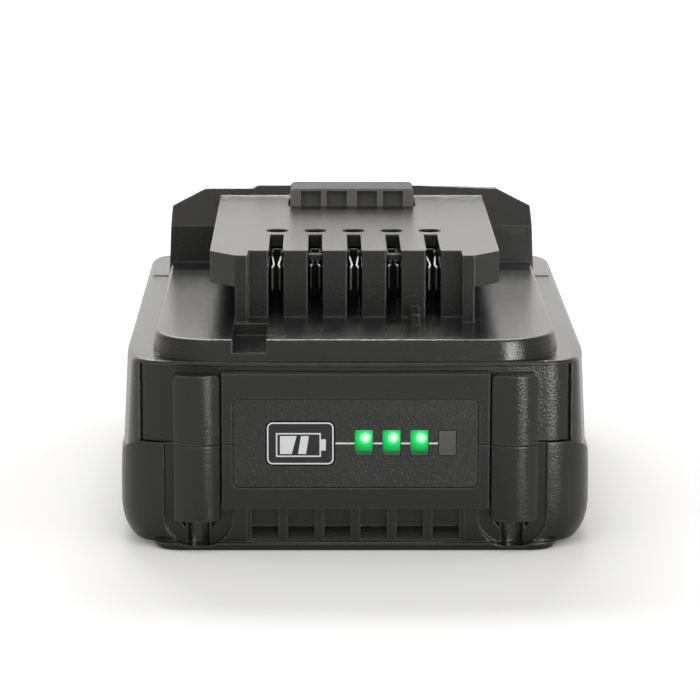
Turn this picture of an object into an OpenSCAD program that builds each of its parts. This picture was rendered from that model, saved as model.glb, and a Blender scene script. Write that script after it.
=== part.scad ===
// Slide-on battery pack for cordless tools: five lithium cells in a two-part
// housing, with a rail and terminal slots on top, a sprung release latch and
// a charge gauge in the front. Millimetres, +Z up, front towards -Y.
// The origin is the centre of the footprint, on the surface it stands on.

/* [Cells] */
// Diameter of one cell in its sleeve
cell_d = 18.4; // [15:0.1:22.5]
// Length of one cell over its positive button
cell_len = 65; // [54:0.5:80]
// Gap between neighbouring cells
cell_gap = 0.4; // [0.3:0.1:1.5]

/* [Housing] */
// Thickness of the side walls at the belly
side_wall = 2.4; // [2:0.1:3.5]
// Room between the cell ends and the side walls
side_room = 5.3; // [4.4:0.1:8]
// Thickness of the front and rear walls
end_wall = 3.9; // [3.6:0.1:5]
// Room between the row of cells and the end walls
end_room = 5.8; // [5.6:0.1:8]
// Thickness of the floor
floor_t = 2.2; // [1.8:0.1:3]
// Thickness of the roof over the circuit board
roof_t = 2.2; // [1.8:0.1:3]
// Height of the seam at the front and rear
seam_z = 18.2; // [17.5:0.1:20]
// How far the seam drops along the sides
seam_drop = 3.3; // [1:0.1:5]
// Gap that the seam shows
seam_gap = 0.12; // [0.1:0.01:0.3]
// How far the lower shell stands out past the upper one at the ends
lower_proud = 0.5; // [0.3:0.1:1]

/* [Plateau and rail] */
// Height of the plateau over the ledge round it
plateau_h = 3.5; // [3:0.1:5]
// Width of the ledge beside the plateau
ledge_w = 4.5; // [3:0.05:6]
// Height of the rail deck over the plateau
tower_h = 11.7; // [10:0.1:14]
// Width across the two rail wings
rail_w = 50.1; // [48:0.1:60]
// Width of the neck under the wings
neck_w = 41.3; // [40:0.1:46]
// Thickness of the wings
wing_t = 5.5; // [4:0.1:6.5]
// Distance from the front wall to the rail's corner posts
rail_setback = 19.1; // [17:0.1:25]
// Depth of the open bay between the corner posts
bay_depth = 5.3; // [3:0.1:6]

/* [Terminals] */
// Distance between neighbouring terminal slots
slot_pitch = 6.83; // [5.8:0.01:7.1]
// Width of one terminal slot
slot_w = 2.4; // [2.2:0.1:2.8]
// Length of a slot in the deck
slot_len = 18.1; // [15:0.1:20]
// Thickness of the terminal sheet
clip_t = 0.4; // [0.3:0.05:0.5]

/* [Latch] */
// Width of the latch tooth
tooth_w = 23.2; // [20:0.1:26]
// Depth of the tooth from front to rear
tooth_depth = 9.3; // [8:0.1:10]
// Height of the tooth over the deck
tooth_h = 3.3; // [2.5:0.1:3.5]
// Travel of the latch when it is pressed
latch_travel = 4; // [3.5:0.1:4]
// Outer diameter of the latch springs
spring_d = 5.2; // [4.4:0.1:6]
// Wire diameter of the latch springs
wire_d = 0.6; // [0.4:0.05:0.7]
// Number of turns of a latch spring
spring_turns = 8; // [6:1:10]

/* [Charge gauge] */
// Width of the gauge panel
panel_w = 41.1; // [40:0.1:42]
// Height of the gauge panel
panel_h = 15.1; // [14:0.1:15.6]
// Width of the gauge key
key_w = 11.4; // [9:0.1:12]
// Height of the gauge key
key_h = 7.4; // [6:0.1:9]
// Travel of the gauge key
key_travel = 0.35; // [0.2:0.05:0.4]
// Width of one light window
light_w = 2.85; // [2:0.05:3]
// Height of one light window
light_h = 4.25; // [3:0.05:5]
// Distance between neighbouring light windows
light_pitch = 4.67; // [4.5:0.01:4.8]

/* [Fasteners] */
// Shank diameter of the housing screws
screw_d = 2.9; // [2.5:0.1:3.2]
// Head diameter of the housing screws
head_d = 4.8; // [4.4:0.1:5]
// Sideways place of the screws and of the columns over them
column_x = 26.7; // [26:0.05:28]
// Width of the columns on the end walls
column_w = 7.9; // [7:0.1:8]

/* [Fits] */
// Running clearance round moving pieces
run_gap = 0.3; // [0.25:0.05:0.4]
// Clearance round pieces that sit still
seat_gap = 0.1; // [0.08:0.01:0.2]

/* [Hidden] */
$fn = 48;

// Colours
shell_grey = "#343436";
latch_grey = "#5c5c5d";
panel_grey = "#3a3b3d";
steel = "#b9bbbd";
nickel = "#c9c6bd";
board_green = "#1f5a3a";
part_black = "#1c1c1e";

// Thickness of the sheets that lofts run through
sheet = 0.01;

// Row of cells and the holders at its ends
cell_count = 5;
cell_r = cell_d / 2;
cell_pitch = cell_d + cell_gap;
row_half = (cell_count * cell_d + (cell_count - 1) * cell_gap) / 2;
cell_lift = 0.85;
cell_z = floor_t + cell_lift + cell_r;
holder_t = 10;
holder_y = row_half + 0.7;
holder_x = cell_len / 2 - holder_t;
holder_top = cell_z + cell_r + cell_lift;
post_r = 2.5;
post_x = cell_len / 2 - 4.5;
pin_r = 1.2;

// Circuit board over the cells
board_gap = 4.5;
board_t = 1.6;
board_z = holder_top + board_gap;
board_top = board_z + board_t;
board_x = cell_len / 2 + 0.9;
board_front = -row_half + 2.8;
board_back = row_half - 22.8;
board_post_y = [board_front + 12, board_back - 12];
board_room = 1.4;

// Housing outlines, from the cells outwards
belly_x = cell_len / 2 + side_room + side_wall;
cavity_x = cell_len / 2 + 3.9;
cavity_y = row_half + end_room;
cavity_corner_r = 9;
end_y = cavity_y + end_wall;
ledge_z = board_top + board_room + roof_t;
ceiling_z = ledge_z - roof_t;
plinth_h = 0.9;
plinth_x = cell_len / 2 + 1.1;
plinth_y = end_y + 0.4;
plinth_draft = 1;
plinth_rise = 0.3;
plinth_r = 4;
belly_z = 7;
foot_inset = 4.5;
end_foot_share = 0.1;
rim_inset = 0.3;
rim_power = 3;
upper_draft = 0.75;
ledge_r = 1.2;
lip_h = 0.6;
field_depth = 0.3;
field_margin = 3.5;
end_bow = 1.9;
crease_inset = 1.8;
lower_quarter_in = 0.7;
crease_r = 7;
lower_corner_r = 8;
level_power = 1.6;
side_taper_l = 14;
side_r = 60;
plan_steps = 10;
rear_r = 6;
seam_ramp = 7.5;
seam_flat = 3;
far_y = end_y + 20;

// Columns, pockets and screws on the end walls
column_proud = 2.4;
column_arc_r = 5.3;
column_edge = 0.4;
column_edge_r = 0.5;
column_foot = 5.3;
column_top = ledge_z - 1.8;
column_top_r = 0.9;
pocket_w = 11.5;
pocket_floor_y = end_y - 1.7;
pocket_z = 0.75;
pocket_r = 4.5;
pocket_in = 0.2;
groove_r = 2.2;
groove_out = 1.2;
notch_w = 1.3;
notch_h = 1.9;
pillar_r = 3.2;
screw_y = holder_y + run_gap + pillar_r;
head_seat_z = 6;
head_h = 2.2;
screw_tip_z = seam_z + 6;
counterbore_r = head_d / 2 + 0.2;

// Frame round the gauge and the vents below it
frame_w = 45;
frame_foot = 7.2;
frame_top = ledge_z - 1.4;
frame_y = -end_y - 0.6;
vent_band_w = 36.4;
vent_count = 6;
vent_w = 4.4;
vent_pitch = 6.1;
vent_foot = 1.4;
vent_shelf_z = 3.6;
vent_depth = 1.8;

// Plateau, rail tower and hump behind it
plateau_z = ledge_z + plateau_h;
plateau_x = belly_x - rim_inset - upper_draft - ledge_w;
plateau_front = -end_y + 2.2;
plateau_rear = end_y - 1.5;
plateau_front_r = 11;
plateau_rear_r = 6;
plateau_draft = 0.5;
plateau_r = 0.5;
deck_t = 2.2;
deck_z = plateau_z + tower_h;
deck_room_z = deck_z - deck_t;
post_front = -end_y + rail_setback;
fin_front = post_front + bay_depth;
bay_w = neck_w - 4.3;
slot_count = 5;
slot_end = fin_front + slot_len;
slot_mouth = 0.2;
slot_back_wall = 1;
hole_r = 2;
hole_y = slot_end + 4.5;
web_y = fin_front + 7.5;
web_l = 2;
web_h = 1.1;
web_drop = 1.9;
tower_wall = 2.25;
key_rib_x = 1.5 * slot_pitch + 0.2;
key_rib_w = 1.5;
key_rib_h = 1.9;
key_rib_l = 8;
gate_x = -neck_w / 2 - 0.05;
gate_w = 5.65;
gate_l = 16.3;
gate_floor = ledge_z + 1.3;
inner_roof_z = plateau_z - roof_t;
hump_x = plateau_x + 0.05;
hump_front = end_y - 30;
hump_ridge_z = plateau_z + 7;
hump_lean = 9.5;
hump_top = deck_z + 1.13;
hump_top_y = hump_front + hump_lean;
hump_rear_z = plateau_z + 6;
hump_fall = (hump_top - hump_rear_z) / (plateau_rear - hump_top_y);
hump_draft = 0.6;
hump_chamfer = [6.1, 3.5];
hump_side_fall = 0.2;
hump_rear_r = 6;
brow_left = -17.8;
brow_right = 12;
brow_ramp = 1;
brow_h = 0.5;
shoulder_y = hump_front + 5;
shoulder_h = 0.15;

// Latch, its thumb pad and its springs
tooth_front = hump_front - 6;
tooth_rear = tooth_front + tooth_depth;
tooth_top = deck_z + tooth_h;
tooth_ribs = [2, 1.1, 1.9, 1.1, 2];
tooth_rib_depth = 2.2;
tooth_roof = 0.5;
tooth_r = 0.9;
bar_w = tooth_w - 0.6;
bar_top = deck_room_z - run_gap;
bar_foot = bar_top - latch_travel - 0.5;
pad_w = 28;
pad_front = hump_front + 16.9;
pad_l = 10;
pad_foot = bar_top - 2.3;
pad_top = hump_top - (pad_front - hump_top_y) * hump_fall - 0.4;
pad_flat = 3;
pad_ribs = 4;
pad_rib_r = 0.5;
well_floor = pad_foot - latch_travel - run_gap;
latch_room_back = pad_front - 2.4;
spring_x = 7;
spring_y = hump_front + 10.5;
spring_seat_t = 2;
spring_seat_x = cell_len / 2 - 2.5;
spring_seat_l = 16;
spring_foot = holder_top + spring_seat_t + 0.05;
socket_r = spring_d / 2 + 0.4;
socket_top = bar_top - 1.2;
spring_tip = socket_top - 0.05;
spring_post_r = spring_d / 2 - wire_d - 0.3;

// Charge gauge behind the front wall
gauge_z = (frame_foot + frame_top) / 2 - 0.45;
panel_face = frame_y + 0.15;
panel_flange = 1.3;
panel_corner_r = 0.9;
lip_back = frame_y + 2.2;
flange_front = lip_back + seat_gap;
flange_back = flange_front + 1;
groove_back = flange_back + seat_gap;
gauge_board_y = flange_back + 2.4;
gauge_board_t = 1;
peg_r = 1.2;
peg_x = panel_w / 2 - 2;
peg_z = panel_h / 2 - 1.7;
key_x = -9.3;
key_gap = 0.15;
key_r = 1.05;
key_flange = 0.7;
key_flange_front = flange_back + seat_gap;
key_flange_back = key_flange_front + 0.5;
switch_w = 4.6;
switch_front = key_flange_back + key_travel + 0.25;
plunger_r = 1.3;
plunger_tip = switch_front + 0.6;
light_count = 4;
light_x = 1.37;
light_z = gauge_z + 0.05;
light_flange = 0.35;
light_r = 0.25;
led_size = [1.8, 0.9, 2.4];
led_gap = 0.3;

// A unit vector, and a vector turned by an angle
function unit(v) = v / norm(v);
function turned(v, a) = [v.x * cos(a) - v.y * sin(a), v.x * sin(a) + v.y * cos(a)];

// A counter-clockwise outline with each edge moved in by its own distance
function inset(p, d) =
    let (n = len(p))
    [
        for (i = [0 : n - 1])
            let (
                u = unit(p[i] - p[(i + n - 1) % n]),
                v = unit(p[(i + 1) % n] - p[i])
            )
            p[i] + (v * d[(i + n - 1) % n] - u * d[i]) / cross(u, v)
    ];

// A convex outline with each corner rounded by its own radius
function rounded(p, r, steps) =
    let (n = len(p))
    [
        for (i = [0 : n - 1])
            let (
                u = unit(p[(i + n - 1) % n] - p[i]),
                v = unit(p[(i + 1) % n] - p[i]),
                half = acos(u * v) / 2,
                middle = p[i] + unit(u + v) * r[i] / sin(half),
                start = p[i] + u * r[i] / tan(half) - middle
            )
            for (k = [0 : steps])
                middle + turned(start, (180 - 2 * half) * k / steps)
    ];

// Corners of a rectangle, all rounded alike
function rectangle(x, y, r, steps = 4) =
    rounded([[-x, -y], [x, -y], [x, y], [-x, y]], [r, r, r, r], steps);

// Plan of a shell: bowed front, tapered front quarters and round rear corners,
// with the sides moved in by one distance and the ends by another
function shell_plan(half_w, end, front_in, front_r, side_in, end_in) =
    let (
        slope = 2 * end_bow / (half_w - crease_inset),
        quarter_x = half_w - front_in,
        bow_r = (quarter_x - front_r) / slope,
        nose = -end - bow_r * (sqrt(1 + slope ^ 2) - 1),
        quarter_y = nose + slope * quarter_x,
        corners = [
            [0, nose],
            [quarter_x, quarter_y],
            [half_w, quarter_y + side_taper_l],
            [half_w, end],
            [-half_w, end],
            [-half_w, quarter_y + side_taper_l],
            [-quarter_x, quarter_y]
        ],
        d = [end_in, side_in, side_in, end_in, side_in, side_in, end_in],
        rear = max(0.5, rear_r - side_in),
        r = [bow_r, front_r, side_r, rear, rear, side_r, front_r]
    )
    rounded(inset(corners, d), r, plan_steps);

// How far the lower shell's side draws in at a height, under and over its belly
function belly_inset(z) =
    z < belly_z
        ? foot_inset * (1 - sqrt(1 - ((belly_z - z) / belly_z) ^ 2))
        : rim_inset * ((z - belly_z) / (seam_z - belly_z)) ^ rim_power;

// Profile of the seam in the Y-Z plane, raised by a distance
function seam_line(up) =
    let (
        high = seam_z + up,
        low = seam_z - seam_drop + up,
        outer = end_y - seam_flat,
        inner = outer - seam_ramp
    )
    [
        [far_y, high], [outer, high], [inner, low],
        [-inner, low], [-outer, high], [-far_y, high]
    ];

// Outline with square feet and rounded shoulders
function arched(x, low, high, r, steps = 4) =
    concat(
        [[-x, low], [x, low]],
        [
            for (side = [0, 1], k = [0 : steps])
                let (a = 90 * side + 90 * k / steps)
                [(1 - 2 * side) * (x - r) + r * cos(a), high - r + r * sin(a)]
        ]
    );

// Sum of a list up to an index
function sum(list, to) = to < 0 ? 0 : list[to] + sum(list, to - 1);

// A box from its lowest to its highest corner
module block(low, high) {
    translate(low)
        cube(high - low);
}

// The same shape on both sides of the X = 0 plane, or of the Y = 0 plane
module left_and_right() {
    for (side = [0, 1])
        mirror([side, 0, 0])
            children();
}

module front_and_rear() {
    for (end = [0, 1])
        mirror([0, end, 0])
            children();
}

// A Y-Z profile carried across X, and an X-Z profile carried along Y
module across(profile, half_w) {
    rotate([90, 0, 90])
        linear_extrude(2 * half_w, center = true)
            polygon(profile);
}

module along(profile, from_y, to_y) {
    translate([0, to_y, 0])
        rotate([90, 0, 0])
            linear_extrude(to_y - from_y)
                polygon(profile);
}

// A body lofted through plans at rising heights; each level is [z, plan]
module loft(levels) {
    hull()
        for (level = levels)
            translate([0, 0, level[0]])
                linear_extrude(sheet)
                    polygon(level[1]);
}

// All that lies under the seam, and all that lies over it
module under_seam() {
    low = -10;
    across(concat([[-far_y, low], [far_y, low]], seam_line(0)), 2 * belly_x);
}

module over_seam() {
    high = 2 * deck_z;
    across(concat(seam_line(seam_gap), [[-far_y, high], [far_y, high]]), 2 * belly_x);
}

// Outer skin of the lower shell: a belly that is rounded under towards the
// foot, where the levels lie closer
module lower_skin() {
    steps = 10;
    end = end_y + lower_proud;
    loft([
        for (k = [0 : steps])
            let (
                z = plinth_h + (seam_z - plinth_h) * (k / steps) ^ level_power,
                d = belly_inset(z)
            )
            [z, shell_plan(belly_x, end, lower_quarter_in, lower_corner_r, d, d * end_foot_share)]
    ]);
}

// Low plinth under the lower shell that the pack stands on
module plinth() {
    loft([
        [0, rectangle(plinth_x, plinth_y, plinth_r)],
        [plinth_h + plinth_rise, rectangle(plinth_x + plinth_draft, plinth_y + plinth_rise, plinth_r)]
    ]);
}

// Plan of the upper shell, with the sides moved in and the ends by half of that
function upper_plan(d) =
    shell_plan(belly_x - rim_inset, end_y, crease_inset, crease_r - d, d, d / 2);

// Outer skin of the upper shell, drafted, with a rounded top edge
module upper_skin() {
    steps = 4;
    rim = [
        for (k = [0 : steps])
            let (a = 90 * k / steps)
            [ledge_z - ledge_r + ledge_r * sin(a), upper_draft + ledge_r * (1 - cos(a))]
    ];
    loft([
        for (level = concat([[seam_z - seam_drop, 0]], rim))
            [level[0], upper_plan(level[1])]
    ]);
}

// Shallow field in the front wall that leaves a lip under the ledge and a
// step at the front corners
module front_field() {
    low_z = seam_z - seam_drop;
    high_z = ledge_z - lip_h;
    over = 1;
    x = belly_x - rim_inset - field_margin;
    d = 2 * field_depth;
    difference() {
        block([-x, -far_y, low_z - over], [x, -cavity_y + over, high_z]);
        loft([[low_z - 2 * over, upper_plan(d)], [high_z + over, upper_plan(upper_draft + d)]]);
    }
}

// Low step of the ledge beside the hump
module shoulder() {
    d = upper_draft + ledge_r;
    root = 0.5;
    intersection() {
        translate([0, 0, ledge_z - root])
            linear_extrude(root + shoulder_h)
                polygon(upper_plan(d));
        block([-belly_x, shoulder_y, 0], [belly_x, 2 * end_y, 2 * ledge_z]);
    }
}

// Plateau that the tool's foot slides over, with a small rounded edge
module plateau() {
    middle = (plateau_front + plateau_rear) / 2;
    half_l = (plateau_rear - plateau_front) / 2;
    corners = [[-plateau_x, -half_l], [plateau_x, -half_l], [plateau_x, half_l], [-plateau_x, half_l]];
    eased = plateau_r * 0.3;
    levels = [
        [ledge_z - 1, 0],
        [plateau_z - plateau_r, plateau_draft],
        [plateau_z - eased, plateau_draft + eased],
        [plateau_z - sheet, plateau_draft + plateau_r]
    ];
    translate([0, middle, 0])
        loft([
            for (level = levels)
                let (d = level[1], front = plateau_front_r - d, rear = plateau_rear_r - d)
                [level[0], rounded(inset(corners, [d, d, d, d]), [front, front, rear, rear], plan_steps)]
        ]);
}

// Columns on the end walls that hide the screw pillars: bowed in front, with
// straight flanks and rounded shoulders
module columns() {
    x = column_w / 2;
    turn = asin((x - column_edge) / column_arc_r);
    nose = -end_y - column_proud - column_arc_r * (1 / cos(turn) - 1);
    edge_y = nose + x * tan(turn);
    inner_r = 0.2;
    plan = rounded(
        [[0, nose], [x, edge_y], [x, -cavity_y], [-x, -cavity_y], [-x, edge_y]],
        [column_arc_r, column_edge_r, inner_r, inner_r, column_edge_r], plan_steps
    );
    front_and_rear()
        left_and_right()
            translate([column_x, 0, 0])
                intersection() {
                    translate([0, 0, column_foot])
                        linear_extrude(column_top - column_foot)
                            polygon(plan);
                    along(arched(x, column_foot - 1, column_top, column_top_r), -far_y, 0);
                }
}

// Pocket round the foot of each column, with the driver groove under it
module column_pockets() {
    x = pocket_w / 2;
    outline = rounded(
        [[-x, pocket_z], [x, pocket_z], [x, 2 * ledge_z], [-x, 2 * ledge_z]],
        [pocket_r, pocket_r, 1, 1], 5
    );
    past = end_y + 5;
    front_and_rear()
        left_and_right()
            translate([column_x - pocket_in, 0, 0]) {
                along(outline, -past, -pocket_floor_y);
                translate([0, -pocket_floor_y - groove_out, pocket_z])
                    cylinder(r = groove_r, h = seam_z);
                left_and_right()
                    translate([groove_r, 0, column_foot - notch_h])
                        along([[0, 0], [notch_w, notch_h], [0, notch_h]], -past, -pocket_floor_y + 1);
            }
}

// Raised frame round the gauge window
module gauge_frame() {
    x = frame_w / 2;
    rim = 0.4;
    inner = -cavity_y - 1;
    profile = [
        [frame_y, frame_foot], [inner, frame_foot], [inner, frame_top],
        [frame_y + 2 * rim, frame_top], [frame_y, frame_top - rim]
    ];
    across(profile, x);
}

// Window, flange groove and inner opening of the gauge
module gauge_window() {
    x = panel_w / 2;
    z = panel_h / 2;
    f = panel_flange + run_gap;
    rebate = [0.4, 0.9];
    translate([0, 0, gauge_z]) {
        along(rectangle(x + seat_gap, z + seat_gap, panel_corner_r + seat_gap), frame_y - 5, lip_back + 1);
        block([-x - f, lip_back, -z - f], [x + f, groove_back, z + f]);
        block([-x - rebate.x, lip_back, -z - rebate.y], [x + rebate.x, -cavity_y + 1, z + rebate.y]);
    }
}

// Row of vents under the gauge frame, each with a sloping sill
module front_vents() {
    past = -end_y - 5;
    back = -end_y + 0.5;
    block([-vent_band_w / 2, past, vent_foot - 0.01], [vent_band_w / 2, back, frame_foot]);
    sill = [
        [past, frame_foot], [back + vent_depth, frame_foot], [back + vent_depth, vent_shelf_z],
        [back - 0.2, vent_foot], [past, vent_foot]
    ];
    for (k = [0 : vent_count - 1])
        translate([(k - (vent_count - 1) / 2) * vent_pitch, 0, 0])
            across(sill, vent_w / 2);
}

// Round pillars inside the shells that the screws run through
module screw_places() {
    front_and_rear()
        left_and_right()
            translate([column_x, -screw_y, 0])
                children();
}

module cavity(from_z, to_z) {
    translate([0, 0, from_z])
        linear_extrude(to_z - from_z)
            polygon(rectangle(cavity_x, cavity_y, cavity_corner_r, 6));
}

// Lower half of the housing: floor, belly, column pockets, vents and pillars
module lower_housing() {
    rib_t = 1.6;
    rib_h = 12;
    rib_front = cell_len / 2 + 1.1;
    color(shell_grey)
        difference() {
            intersection() {
                union() {
                    difference() {
                        union() {
                            lower_skin();
                            plinth();
                        }
                        column_pockets();
                        front_vents();
                    }
                    gauge_frame();
                    columns();
                }
                under_seam();
            }
            difference() {
                cavity(floor_t, 2 * seam_z);
                screw_places()
                    cylinder(r = pillar_r, h = 2 * seam_z);
                left_and_right()
                    for (k = [-1, 0, 1])
                        translate([0, k * cell_pitch, 0])
                            block([rib_front, -rib_t / 2, 0], [2 * belly_x, rib_t / 2, floor_t + rib_h]);
            }
            gauge_window();
            screw_places() {
                translate([0, 0, -1])
                    cylinder(r = counterbore_r, h = head_seat_z + 1);
                cylinder(r = screw_d / 2 + 0.2, h = 2 * seam_z);
            }
        }
}

// Rail with its wings, corner posts, terminal fins and key rib
module rail_tower() {
    foot = ledge_z;
    rear = hump_top_y;
    n = neck_w / 2;
    w = rail_w / 2;
    difference() {
        union() {
            block([-n, post_front, foot], [n, rear, deck_z]);
            translate([0, 0, deck_z - wing_t])
                linear_extrude(wing_t)
                    polygon([
                        [-n, post_front], [n, post_front], [w, post_front + 5], [w, rear],
                        [-w, rear], [-w, post_front + 5]
                    ]);
        }
        block([-bay_w / 2, post_front - 1, plateau_z], [bay_w / 2, fin_front, deck_z + 1]);
    }
    translate([key_rib_x, fin_front, foot])
        block([-key_rib_w / 2, -key_rib_l, 0], [key_rib_w / 2, 1, plateau_h + key_rib_h]);
}

// Outline that the hump shows from the front; its top and its side chamfers
// lie lower towards the rear
function hump_face(y) =
    let (
        foot = ledge_z - 1,
        x = hump_x - hump_draft,
        top = hump_top - (y - hump_top_y) * hump_side_fall
    )
    [
        [-hump_x, foot], [hump_x, foot], [x, top - hump_chamfer.y],
        [x - hump_chamfer.x, top], [-x + hump_chamfer.x, top], [-x, top - hump_chamfer.y]
    ];

// Hump behind the rail that the latch works in, with a low brow on its ridge
module rear_hump() {
    past = plateau_rear + 1;
    right = hump_x - hump_draft - hump_chamfer.x;
    left = brow_left - 2 * brow_ramp;
    brow = [
        [left, hump_top - brow_h], [right, hump_top - brow_h], [right, hump_top],
        [brow_right, hump_top + brow_h], [brow_left, hump_top + brow_h]
    ];
    intersection() {
        ridge(hump_top);
        hull() {
            along(hump_face(hump_front), hump_front, hump_front + sheet);
            along(hump_face(past), past, past + sheet);
        }
    }
    intersection() {
        ridge(hump_top + brow_h);
        along(brow, hump_front, past);
    }
}

// Side profile of the hump up to a ridge, with rounded rear corners
module ridge(top) {
    foot = ledge_z - 1;
    ridge_y = hump_top_y + (top - hump_top) * hump_lean / (hump_top - hump_ridge_z);
    side = [
        [hump_front, foot], [plateau_rear, foot], [plateau_rear, hump_rear_z],
        [ridge_y, top], [hump_front, hump_ridge_z]
    ];
    x = hump_x;
    plan = rounded(
        [[-x, hump_front - 1], [x, hump_front - 1], [x, plateau_rear], [-x, plateau_rear]],
        [0.5, 0.5, hump_rear_r, hump_rear_r], plan_steps
    );
    intersection() {
        across(side, hump_x);
        linear_extrude(2 * deck_z)
            polygon(plan);
    }
}

// Terminal slots, with flared mouths, and the round holes behind them
module terminal_slots() {
    past = 0.5;
    w = slot_w / 2;
    web_top = deck_z - web_drop;
    plan = [
        [-w - slot_mouth, fin_front - past], [w + slot_mouth, fin_front - past],
        [w, fin_front + 1], [w, slot_end], [-w, slot_end], [-w, fin_front + 1]
    ];
    for (k = [0 : slot_count - 1])
        translate([(k - (slot_count - 1) / 2) * slot_pitch, 0, 0]) {
            difference() {
                translate([0, 0, plateau_z])
                    linear_extrude(tower_h + 1)
                        polygon(plan);
                if (k % 2 == 1)
                    block([-slot_w, web_y, web_top - web_h], [slot_w, web_y + web_l, web_top]);
            }
            block([-w, slot_end - 2, plateau_z], [w, slot_end + slot_back_wall + 0.1, deck_room_z]);
            translate([0, hole_y, deck_room_z - 1])
                cylinder(r = hole_r, h = deck_t + 2);
        }
}

// Opening of the latch: tooth slot, well of the thumb pad and the way between
module latch_way() {
    tooth_x = tooth_w / 2 + run_gap;
    bar_x = bar_w / 2 + run_gap;
    well_x = pad_w / 2 + run_gap;
    block(
        [-tooth_x, tooth_front - run_gap, deck_room_z - 1],
        [tooth_x, tooth_rear + run_gap, hump_top + 1]
    );
    block([-well_x, pad_front - run_gap, well_floor], [well_x, end_y, hump_top + 2]);
    block([-bar_x, spring_y, well_floor], [bar_x, pad_front, deck_room_z]);
}

// Hollow of the upper shell: over the board, under the plateau, in the tower
// and in the hump
module upper_cavity() {
    hump_wall = 2.4;
    tower_x = neck_w / 2 - tower_wall;
    plateau_in_x = plateau_x - 2.4;
    hump_in_x = hump_x - 5.9;
    tower_back = hump_front + 8;
    cavity(seam_z - seam_drop - 1, ceiling_z);
    block(
        [-plateau_in_x, fin_front - 3.9, ceiling_z - 1],
        [plateau_in_x, plateau_rear - 5, inner_roof_z]
    );
    block(
        [-tower_x, slot_end + slot_back_wall, inner_roof_z - 1],
        [tower_x, tower_back, deck_room_z]
    );
    room = [
        [hump_front + hump_wall, inner_roof_z - 1], [latch_room_back, inner_roof_z - 1],
        [latch_room_back, deck_room_z], [tower_back, deck_room_z],
        [hump_front + hump_wall, hump_ridge_z - 1]
    ];
    across(room, hump_in_x);
}

// Upper half of the housing, with the rail that slides into the tool
module upper_housing() {
    color(shell_grey)
        difference() {
            union() {
                intersection() {
                    union() {
                        difference() {
                            upper_skin();
                            front_field();
                        }
                        gauge_frame();
                        columns();
                    }
                    over_seam();
                }
                shoulder();
                plateau();
                rail_tower();
                rear_hump();
            }
            difference() {
                upper_cavity();
                screw_places()
                    cylinder(r = pillar_r, h = ledge_z);
            }
            block([gate_x, -end_y, gate_floor], [gate_x + gate_w, plateau_front + gate_l, plateau_z + 1]);
            terminal_slots();
            latch_way();
            gauge_window();
            screw_places()
                cylinder(r = screw_d / 2 + 0.05, h = screw_tip_z + 1);
        }
}

// Four screws that come up through the floor into the upper pillars
module housing_screws() {
    recess_w = 0.8;
    recess_l = 2.6;
    color(steel)
        screw_places() {
            translate([0, 0, head_seat_z])
                cylinder(d = screw_d, h = screw_tip_z - 1 - head_seat_z);
            translate([0, 0, screw_tip_z - 1])
                cylinder(d1 = screw_d, d2 = screw_d / 2, h = 1);
            difference() {
                translate([0, 0, head_seat_z - head_h])
                    cylinder(d = head_d, h = head_h);
                for (a = [0, 90])
                    rotate([0, 0, a])
                        translate([0, 0, head_seat_z - head_h])
                            cube([recess_l, recess_w, 2.4], center = true);
            }
        }
}

// Gauge panel with its flange, key opening, light windows and board pegs
module gauge_panel() {
    x = panel_w / 2;
    z = panel_h / 2;
    f = panel_flange;
    before = panel_face - 1;
    behind = flange_back + 1;
    key = [key_w / 2 + key_gap, key_h / 2 + key_gap];
    light = [light_w / 2 + seat_gap, light_h / 2 + seat_gap];
    color(panel_grey)
        difference() {
            union() {
                translate([0, 0, gauge_z]) {
                    along(rectangle(x, z, panel_corner_r), panel_face, flange_front + 0.5);
                    block([-x - f, flange_front, -z - f], [x + f, flange_back, z + f]);
                }
                gauge_pegs(peg_r, flange_back - 0.5, gauge_board_y);
                gauge_pegs(pin_r / 2, flange_back, gauge_board_y + gauge_board_t + 0.4);
            }
            translate([key_x, 0, gauge_z])
                along(rectangle(key.x, key.y, key_r + key_gap), before, behind);
            light_places()
                along(rectangle(light.x, light.y, light_r + seat_gap), before, behind);
        }
}

module gauge_pegs(r, from_y, to_y) {
    for (x = [-1, 1], z = [-1, 1])
        translate([x * peg_x, from_y, gauge_z + z * peg_z])
            rotate([-90, 0, 0])
                cylinder(r = r, h = to_y - from_y, $fn = 24);
}

module light_places() {
    for (k = [0 : light_count - 1])
        light_place(k)
            children();
}

module light_place(k) {
    translate([light_x + k * light_pitch, 0, light_z])
        children();
}

// Key that asks for the charge, kept in by its flange
module gauge_button() {
    x = key_w / 2;
    z = key_h / 2;
    f = key_flange;
    color(panel_grey)
        translate([key_x, 0, gauge_z]) {
            along(rectangle(x, z, key_r), panel_face, key_flange_front + 0.2);
            block([-x - f, key_flange_front, -z - f], [x + f, key_flange_back, z + f]);
        }
}

// Body of the small push switch behind the key
module gauge_switch() {
    s = switch_w / 2;
    color(part_black)
        translate([key_x, 0, gauge_z])
            difference() {
                block([-s, switch_front, -s], [s, gauge_board_y, s]);
                rotate([90, 0, 0])
                    translate([0, 0, -gauge_board_y + 0.1])
                        cylinder(r = plunger_r + run_gap, h = 5);
            }
}

module switch_plunger() {
    color(steel)
        translate([key_x, plunger_tip, gauge_z])
            rotate([90, 0, 0])
                cylinder(r = plunger_r, h = plunger_tip - key_flange_back);
}

// One light pipe in the panel, with a flange behind it
module led_window(k) {
    pipe_back = gauge_board_y - led_size.y - led_gap;
    x = light_w / 2;
    z = light_h / 2;
    f = light_flange;
    color("#5b6a60")
        light_place(k) {
            along(rectangle(x, z, light_r), panel_face, pipe_back);
            block([-x - f, key_flange_front, -z - f], [x + f, key_flange_back, z + f]);
        }
}

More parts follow.
